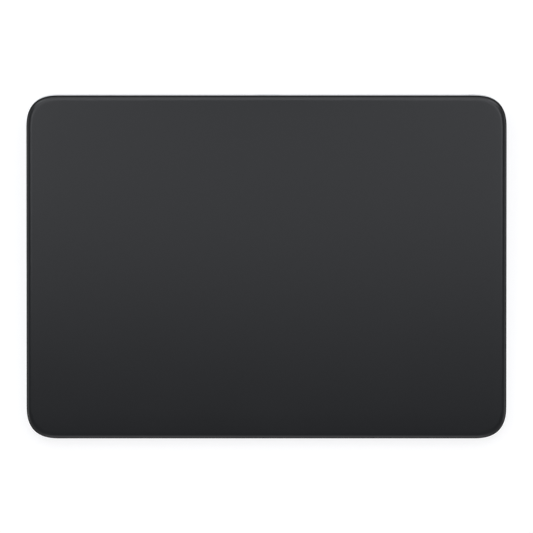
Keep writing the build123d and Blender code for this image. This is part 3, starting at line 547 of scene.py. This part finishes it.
bevel_edges(shell, on_shell_lip, shell_lip, steps=3)
smooth(shell)
shell.data.materials.append(nickel_plated_steel)
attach(shell, "base")
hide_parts("port_shell")

tongue_low, tongue_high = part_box("port_tongue")
tongue_root = tongue_low.y + tongue_base_length
half = Vector((tongue_width / 2, 0, tongue_thickness / 2))
tongue_front = Vector((0, tongue_root - cut_overrun, port_height))
tongue_rear = Vector((0, tongue_high.y, port_height))
tongue = block(tongue_front - half, tongue_rear + half)
bevel_edges(tongue, lambda edge: ends_at(edge, tongue_high, rearward), tongue_chamfer, steps=2)
base = stadium("tongue_base", *tongue_base, tongue_base_length, 0, tongue_root, port_height)
combine(tongue, base, "UNION")
tongue.name = tongue.data.name = "socket_tongue"
smooth(tongue)
tongue.data.materials.append(moulded_black_plastic)
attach(tongue, "base")
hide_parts("port_tongue")

dress(gold_plating, "port_contacts")
dress(silicone_rubber, "port_gasket")
dress(nickel_plated_steel, "port_clamp")


# Slide switch
# An aluminium knob with three grip grooves slides in a slot beside the socket. Its flange runs
# behind the wall, covers the slot, and carries a green film that shows when the switch is on.
# A plastic lever on the flange moves the contacts in the housing on the switch's own board.

knob_size = (2.3 * mm, 1.8 * mm)
knob_edge = 0.08 * mm
groove_width = 0.25 * mm
groove_depth = 0.12 * mm
groove_pitch = 0.55 * mm
flange_corner = 0.5 * mm

# Green film: a clean signal green under a clear, smooth coat.
green_film = grained(
    "green_film", ("#1F9E3D", "#27AB46"), patch=1 * mm, rough=(0.25, 0.35),
    grit=0.1 * mm, relief=0.001 * mm, Coat_Weight=0.4,
)

knob_middle = (flange_low.x + flange_high.x) / 2
knob_depth = flange_high.y - flange_rear + cut_overrun / 2
knob = stadium("switch_slider", *knob_size, knob_depth, knob_middle, flange_high.y, port_height)
bevel_edges(knob, lambda edge: ends_at(edge, flange_high, rearward), knob_edge, steps=3)
for step in (-1, 0, 1):
    x = knob_middle + step * groove_pitch
    low = (x - groove_width / 2, flange_high.y - groove_depth, flange_low.z)
    high = (x + groove_width / 2, flange_high.y + cut_overrun, flange_high.z)
    combine(knob, block(low, high), "DIFFERENCE")
flange = block(flange_low, (flange_high.x, flange_rear, flange_high.z))


def on_flange_corner(edge):
    """The flange's four short edges, which run from its front to its rear."""
    return abs((edge.verts[0].co - edge.verts[1].co).y) > near


bevel_edges(flange, on_flange_corner, flange_corner, steps=5)
combine(knob, flange, "UNION")
smooth(knob)
knob.data.materials.append(anodised_aluminium)
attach(knob, "power_switch")
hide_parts("switch_knob")

dress(green_film, "switch_indicator")
dress(moulded_black_plastic, "switch_lever", "switch_housing")


# Battery
# Two flat lithium cells in foil pouches, glued to the floor with a thin film. Nickel tabs weld
# them to a narrow board with its protection chips, and three red leads run to the main board.

# Pouch foil: laminated aluminium with a dull grey skin that puckers over the cell.
pouch_foil = grained(
    "pouch_foil", ("#A9ACAF", "#B9BCBF"), patch=14 * mm, rough=(0.32, 0.48),
    grit=2.5 * mm, relief=0.05 * mm, Metallic=0.7,
)

# Glue film: a dark, matt skin with soft lumps.
glue_film = grained(
    "glue_film", ("#2A2B2C", "#383A3B"), patch=5 * mm, rough=(0.6, 0.8),
    grit=0.6 * mm, relief=0.01 * mm,
)

# Nickel strip: a rolled metal, slightly yellow, with marks along the roll.
rolled_nickel = grained(
    "rolled_nickel", ("#B9B3A2", "#C9C3B2"), patch=2 * mm, rough=(0.25, 0.35),
    grit=0.12 * mm, relief=0.002 * mm, stretch=(1, 0.1, 1), Metallic=1,
)

# Lead insulation: soft red PVC.
red_insulation = grained(
    "red_insulation", ("#9E1D1B", "#B02622"), patch=2 * mm, rough=(0.4, 0.5),
    grit=0.15 * mm, relief=0.003 * mm,
)

dress(pouch_foil, "battery_cell_left", "battery_cell_right")
dress(glue_film, "cell_adhesive")
dress(rolled_nickel, "battery_tabs")
dress(red_insulation, "battery_leads")


# Boards
# Glass-fibre boards under a black solder mask, through which the copper tracks stand out a
# little. The main board carries a shielded radio, moulded chips and cream cable connectors.

# A wave texture repeats every tenth of pi over its scale.
waves_per_metre = pi / 10
track_pitch = 0.8 * mm
track_relief = 0.03 * mm
track_share = 0.32
track_field = 6 * mm
field_edge = (0.49, 0.51)
lacquer_shade, track_shade = "#101413", "#1E2624"
lacquer_rough = (0.28, 0.42)

# Solder mask: a glossy black lacquer, paler and raised where the tracks run under it. The tracks
# run across in some fields of the board and along in the others.
solder_mask, tree, shader, coordinates = start_material("solder_mask", IOR=1.5)
waves = {"Vector": coordinates, "Scale": waves_per_metre / track_pitch}
runs = [add_node(tree, "TexWave", waves, bands_direction=way).outputs[0] for way in ("X", "Y")]
fields = {"Vector": coordinates, "Scale": 1 / track_field, "Detail": 0}
turns = add_node(tree, "TexNoise", fields).outputs[0]
span = {"Value": turns, "From Min": field_edge[0], "From Max": field_edge[1]}
choice = add_node(tree, "MapRange", span).outputs[0]
mix = {mix_share: choice, first_number: runs[0], second_number: runs[1]}
chosen = add_node(tree, "Mix", mix, data_type="FLOAT").outputs[mixed_number]
tracks = add_node(tree, "MapRange", {"Value": chosen, "From Min": 1 - track_share}).outputs[0]
mix = {mix_share: tracks, first_colour: linear(lacquer_shade), second_colour: linear(track_shade)}
colour = add_node(tree, "Mix", mix, data_type="RGBA").outputs[mixed_colour]
bump = add_node(tree, "Bump", {"Distance": track_relief, "Height": tracks}).outputs[0]
span = {"Value": turns, "To Min": lacquer_rough[0], "To Max": lacquer_rough[1]}
roughness = add_node(tree, "MapRange", span).outputs[0]
connect(tree, shader, colour, roughness, bump)

# Nylon: the cream, slightly waxy plastic of cable connectors.
cream_nylon = grained(
    "cream_nylon", ("#CFC6B0", "#DAD2BE"), patch=3 * mm, rough=(0.38, 0.5),
    grit=0.12 * mm, relief=0.003 * mm,
)

dress(solder_mask, "sensor_board", "logic_board", "port_board", "switch_board")
dress(solder_mask, "battery_board", "antenna_board")
dress(moulded_black_plastic, "logic_chips", "battery_chips", "sensor_chips")
dress(nickel_plated_steel, "logic_shield")
dress(cream_nylon, "logic_connectors")


# Flat cables and strain gauges
# Copper conductors between two films of amber polyimide. They lie on the case's floor and fold
# up into the connectors. The gauges on the blades are foils of the same film.

conductor_pitch = 0.5 * mm
film_relief = 0.01 * mm
film_cloud = 5 * mm
film_shade, conductor_shade = "#B4702A", "#8A4A1C"
film_rough = (0.25, 0.4)

# Polyimide film: clear amber and glossy, with the darker conductors showing through as stripes.
polyimide_film, tree, shader, coordinates = start_material("polyimide_film", IOR=1.6)
waves = {"Vector": coordinates, "Scale": waves_per_metre / conductor_pitch}
stripes = add_node(tree, "TexWave", waves).outputs[0]
clouds = add_node(tree, "TexNoise", {"Vector": coordinates, "Scale": 1 / film_cloud}).outputs[0]
mix = {mix_share: stripes, first_colour: linear(film_shade), second_colour: linear(conductor_shade)}
colour = add_node(tree, "Mix", mix, data_type="RGBA").outputs[mixed_colour]
span = {"Value": clouds, "To Min": film_rough[0], "To Max": film_rough[1]}
roughness = add_node(tree, "MapRange", span).outputs[0]
bump = add_node(tree, "Bump", {"Distance": film_relief, "Height": stripes}).outputs[0]
connect(tree, shader, colour, roughness, bump)

dress(polyimide_film, "port_flex", "switch_flex", "gauge_flex", "touch_flex", "strain_gauges")


# Magnet
# An iron core with three legs, each wound with enamelled copper wire, on a steel bracket. It
# pulls sideways at the steel armature under the pad, which is how the pad is shaken.

wire_pitch = 0.2 * mm
wire_relief = 0.06 * mm
enamel_cloud = 3 * mm
enamel_shades = ("#B5652F", "#C87A3F")
enamel_rough = (0.25, 0.4)

# Enamelled copper wire: glossy orange-brown turns side by side. The real wire of 0.1 mm is drawn
# at 0.2 mm, so that its turns show.
copper_wire, tree, shader, coordinates = start_material("enamelled_copper_wire", Metallic=0.9)
waves = {"Vector": coordinates, "Scale": waves_per_metre / wire_pitch}
turns = add_node(tree, "TexWave", waves).outputs[0]
clouds = add_node(tree, "TexNoise", {"Vector": coordinates, "Scale": 1 / enamel_cloud}).outputs[0]
shades = {first_colour: linear(enamel_shades[0]), second_colour: linear(enamel_shades[1])}
mix = {mix_share: clouds, **shades}
colour = add_node(tree, "Mix", mix, data_type="RGBA").outputs[mixed_colour]
span = {"Value": clouds, "To Min": enamel_rough[0], "To Max": enamel_rough[1]}
roughness = add_node(tree, "MapRange", span).outputs[0]
bump = add_node(tree, "Bump", {"Distance": wire_relief, "Height": turns}).outputs[0]
connect(tree, shader, colour, roughness, bump)

# Laminated iron: dark grey sheets with a phosphate skin, stacked and seen edge on.
laminated_iron = grained(
    "laminated_iron", ("#6E6E72", "#7C7C80"), patch=5 * mm, rough=(0.4, 0.55),
    grit=0.2 * mm, relief=0.006 * mm, stretch=(1, 1, 4), Metallic=1,
)

dress(laminated_iron, "actuator_core", "armature")
dress(copper_wire, "actuator_coils", "coil_leads")
dress(nickel_plated_steel, "actuator_bracket")


# Antenna
# A folded gold-plated track on a strip of board near the front wall, where the glass lets radio
# waves through, with a thin coaxial cable to the main board.

# Cable jacket: black fluoropolymer, smooth and a little waxy.
cable_jacket = grained(
    "cable_jacket", ("#17181A", "#1F2022"), patch=2 * mm, rough=(0.35, 0.45),
    grit=0.1 * mm, relief=0.002 * mm,
)

dress(gold_plating, "antenna_track")
dress(cable_jacket, "antenna_cable")


# Blades and screws
# Four leaves of spring steel, screwed to the case at their roots, carry the pad on their tips.
# A tip plate and a soft gel pad on each tip let the pad shift sideways and nothing else.

# Spring steel: cold rolled, with fine marks along each blade and a faint straw tint.
spring_steel = grained(
    "spring_steel", ("#B3B1AB", "#C0BEB8"), patch=6 * mm, rough=(0.24, 0.34),
    grit=0.12 * mm, relief=0.002 * mm, stretch=(1, 0.1, 1), Metallic=1,
)

# Zinc-plated screws: a cool, bright grey with a cloudy passivated skin.
zinc_plating = grained(
    "zinc_plating", ("#9FA3A8", "#B2B6BA"), patch=0.8 * mm, rough=(0.3, 0.45),
    grit=0.12 * mm, relief=0.003 * mm, Metallic=1,
)

# Silicone gel: pale, translucent and tacky.
silicone_gel = grained(
    "silicone_gel", ("#D5D7CF", "#DEE0D9"), patch=2 * mm, rough=(0.15, 0.3),
    grit=0.3 * mm, relief=0.006 * mm, Subsurface_Weight=0.3, Subsurface_Scale=0.001,
)

screws = [name for name in frame["nodes"] if name.endswith("_screws")]
blades = [name for name in frame["nodes"] if name.startswith("blade_") and name not in screws]
dress(spring_steel, "tip_plates", *blades)
dress(zinc_plating, *screws)
dress(silicone_gel, "gel_pads")


# Pad
# The glass plate, a glue film, the sensor board and a stiffening steel plate, bonded into one
# stiff sandwich. The glass is etched on top so that a finger glides, its edges are ground round,
# and a black print under it hides what is below.

glass_thickness = 1.3 * mm
glass_round_reach = 2.0 * mm
glass_round_depth = 1.0 * mm
glass_round_steps = 16
glass_under_chamfer = 0.15 * mm
polish_reach = 8 * mm
polish_drop = 0.04 * mm
polish_steps = 6

# Cold-rolled steel sheet for the stiffening plate: grey, with broad rolling marks.
rolled_steel = grained(
    "rolled_steel", ("#A0A1A2", "#AEAFB0"), patch=12 * mm, rough=(0.3, 0.42),
    grit=0.2 * mm, relief=0.003 * mm, stretch=(1, 0.15, 1), Metallic=1,
)

# Etched black glass: near-black and satin. The etching's grain of 0.02 mm is too fine to show, so
# it is drawn at 0.3 mm, only deep enough to break up the shine. The sheen drifts a little where
# fingers have polished it.
etch_grain = 0.3 * mm
etch_relief = 0.0005 * mm
polish_patch = 28 * mm
painted_shade_from = radians(35)
etched_glass = grained(
    "etched_black_glass", ("#0E1013", "#101215"), patch=polish_patch, rough=(0.24, 0.27),
    grit=etch_grain, relief=etch_relief, IOR=1.52,
)

# Ground glass edge with painted shade: the steep part of the round is black with no shine, so it
# frames the glass as a thin dark line of painted shade. Wheel marks of 0.01 mm are drawn at 0.15 mm.
painted_shade_edge = grained(
    "ground_black_edge", ("#0E0F10", "#131415"), patch=5 * mm, rough=(0.5, 0.6),
    grit=0.15 * mm, relief=0.001 * mm, Specular_IOR_Level=0,
)

# The rings that the glass's round and its polished border are built from, each an inset from the
# outline and a drop below the top: a quarter of an ellipse, then a border that levels out.
rings = []
for step in range(1, glass_round_steps + 1):
    turn = step / glass_round_steps * pi / 2
    drop = glass_round_depth * (1 - sin(turn)) + polish_drop
    rings.append((glass_round_reach * (1 - cos(turn)), drop))
for step in range(1, polish_steps + 1):
    reached = step / polish_steps
    rings.append((glass_round_reach + polish_reach * reached, polish_drop * (1 - reached) ** 2))
glass_top = -glass_round_depth - polish_drop
glass = eased_plate("glass_plate", 0, glass_thickness + glass_top, glass_top)
under = upward * -glass_thickness
bevel_edges(glass, lambda edge: ends_at(edge, under, upward), glass_under_chamfer, steps=2)
work_on(glass, "EDIT")
pick("faces", lambda face: face.normal.z > facing)
bpy.ops.mesh.delete(type="ONLY_FACE")
for inset, drop in rings:
    bpy.ops.object.mode_set(mode="OBJECT")
    ring = eased_outline("ring", inset, -drop)
    bpy.ops.mesh.delete(type="ONLY_FACE")
    bpy.ops.object.mode_set(mode="OBJECT")
    work_on(glass)
    ring.select_set(True)
    bpy.ops.object.join()
    bpy.ops.object.mode_set(mode="EDIT")
    pick("edges", lambda edge: edge.is_boundary or edge.is_wire)
    bpy.ops.mesh.bridge_edge_loops()
pick("edges", lambda edge: edge.is_boundary)
bpy.ops.mesh.edge_face_add()
bpy.ops.mesh.select_all(action="SELECT")
bpy.ops.mesh.normals_make_consistent(inside=False)
bpy.ops.object.mode_set(mode="OBJECT")
glass.data.materials.append(etched_glass)
glass.data.materials.append(painted_shade_edge)
# The steep faces of the round take the black, shineless edge, whose dark line is painted shade.
work_on(glass, "EDIT")
pick("faces", lambda face: abs(face.normal.z) < cos(painted_shade_from))
glass.active_material_index = 1
bpy.ops.object.material_slot_assign()
bpy.ops.object.mode_set(mode="OBJECT")
lay_on_pad(glass, 0)
smooth(glass)
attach(glass, "touch_pad")
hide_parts("touch_glass")

dress(glue_film, "glass_adhesive")
dress(rolled_steel, "stiffener_plate")


# Floor, light and camera
# A plain white table under soft light, and a camera that looks straight down through a very long
# lens, leaning a little to the rear so that a sliver of the rear wall shows, as in the picture.

picture_side = 533
picture_scale = 0.33361 * mm
outline_middle_row = 266.3
lens_length = 1000
sensor_width = 36
camera_lean = radians(1)
aim_share = 1 / 4

# The table is a pale grey that its own glow lifts to white for the camera and for what metal and
# glass mirror, so that the object's shadow stays soft. Away from the middle the lamps fade and
# the glow makes up for it.
table_size = 4.0
table_shades = ("#A8A8A9", "#ACACAD")
table_cloud = 300 * mm
glow_near, glow_far = 0.67, 0.84
glow_from, glow_to = 0.1, 1.1

# The studio's walls are white and fade to a dim ceiling. Heights are 0 at the horizon and 1
# overhead.
wall_top, wall_level = 0.2, 1.0
ceiling_rim, ceiling_level = 0.95, 0.08

# The softboxes, each with its place to the side, to the rear and its height, its width and depth,
# and its brightness. One that stands to the side has a twin on the other side. Those at the
# height of the overhead rig face down, and the lower ones face the object.
lamp_colour = (0.97, 0.985, 1.03)
overhead = 0.6
softboxes = {
    "front_strip": (0, -0.29, overhead, 0.5, 0.16, 0.2),
    "front_bar": (0, -0.04, overhead, 0.1, 0.1, 1.2),
    "front_wing": (0.1, -0.04, overhead, 0.1, 0.1, 1.1),
    "middle_wing": (0.1, 0.05, overhead, 0.1, 0.1, 0.85),
    "rear_bar": (0, 0.14, overhead, 0.1, 0.1, 1.1),
    "rear_wing": (0.1, 0.14, overhead, 0.1, 0.1, 2.2),
    "outer_wing": (0.22, 0.03, overhead, 0.12, 0.2, 2.6),
    "back_strip": (0, 0.26, overhead, 0.5, 0.12, 1.45),
    "corner_box": (0.3, 0.3, overhead, 0.2, 0.2, 2.0),
    "rear_box": (0, 0.42, 0.55, 1.1, 0.3, 1.1),
    "side_box": (0.9, -0.1, 0.25, 0.6, 0.4, 1.4),
    "front_box": (0, -0.9, 0.5, 0.6, 0.6, 0.6),
}

bpy.ops.object.select_all(action="DESELECT")
bpy.ops.mesh.primitive_plane_add(size=table_size)
floor = bpy.context.active_object
floor.name = "table_top"
white_table, tree, shader, coordinates = start_material("white_table", Roughness=0.9)
clouds = add_node(tree, "TexNoise", {"Vector": coordinates, "Scale": 1 / table_cloud}).outputs[0]
shades = {first_colour: linear(table_shades[0]), second_colour: linear(table_shades[1])}
mix = {mix_share: clouds, **shades}
colour = add_node(tree, "Mix", mix, data_type="RGBA").outputs[mixed_colour]
tree.links.new(colour, shader.inputs["Base Color"])
rays = add_node(tree, "LightPath").outputs
seen = rays["Is Camera Ray"]
for ray in ("Is Glossy Ray", "Is Transmission Ray"):
    seen = add_node(tree, "Math", {0: seen, 1: rays[ray]}, operation="MAXIMUM").outputs[0]
reach = add_node(tree, "VectorMath", {0: coordinates}, operation="LENGTH").outputs["Value"]
span = {"Value": reach, "From Min": glow_from, "From Max": glow_to}
span.update({"To Min": glow_near, "To Max": glow_far})
level = add_node(tree, "MapRange", span).outputs[0]
level = add_node(tree, "Math", {0: seen, 1: level}, operation="MULTIPLY").outputs[0]
glow = add_node(tree, "Emission", {"Strength": level}).outputs[0]
total = add_node(tree, "AddShader", {0: shader.outputs[0], 1: glow}).outputs[0]
tree.links.new(total, tree.nodes["Material Output"].inputs["Surface"])
floor.data.materials.append(white_table)
floor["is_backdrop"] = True

world = bpy.data.worlds.new("studio")
bpy.context.scene.world = world
world.use_nodes = True
tree = world.node_tree
way = add_node(tree, "TexCoord").outputs["Generated"]
height = add_node(tree, "SeparateXYZ", {0: way}).outputs["Z"]
span = {"Value": height, "From Min": wall_top, "From Max": ceiling_rim}
span.update({"To Min": wall_level, "To Max": ceiling_level})
level = add_node(tree, "MapRange", span).outputs[0]
tree.links.new(level, tree.nodes["Background"].inputs["Strength"])
tree.nodes["Background"].inputs["Color"].default_value = (1, 1, 1, 1)

for name, (x, y, height, width, depth, brightness) in softboxes.items():
    for side in sorted({x, -x}):
        lamp = bpy.data.lights.new(name, "AREA")
        lamp.shape = "RECTANGLE"
        lamp.size = width
        lamp.size_y = depth
        lamp.energy = brightness * pi * width * depth
        lamp.color = lamp_colour
        holder = bpy.data.objects.new(name, lamp)
        bpy.context.collection.objects.link(holder)
        holder.location = (side, y, height)
        if height < overhead:
            holder.rotation_euler = (-holder.location).to_track_quat("-Z", "Y").to_euler()

low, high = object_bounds()
aim = Vector((0, (low.y + high.y) / 2, low.z + (high.z - low.z) * aim_share))
aim.y += (outline_middle_row - picture_side / 2) * picture_scale
distance = lens_length / sensor_width * picture_side * picture_scale
camera = bpy.data.cameras.new("camera")
camera.lens = lens_length
camera.sensor_width = sensor_width
viewer = bpy.data.objects.new("camera", camera)
bpy.context.collection.objects.link(viewer)
viewer.location = aim + Vector((0, sin(camera_lean), cos(camera_lean))) * distance
viewer.rotation_euler.x = -camera_lean
bpy.context.scene.camera = viewer
bpy.context.scene.view_settings.view_transform = "Standard"
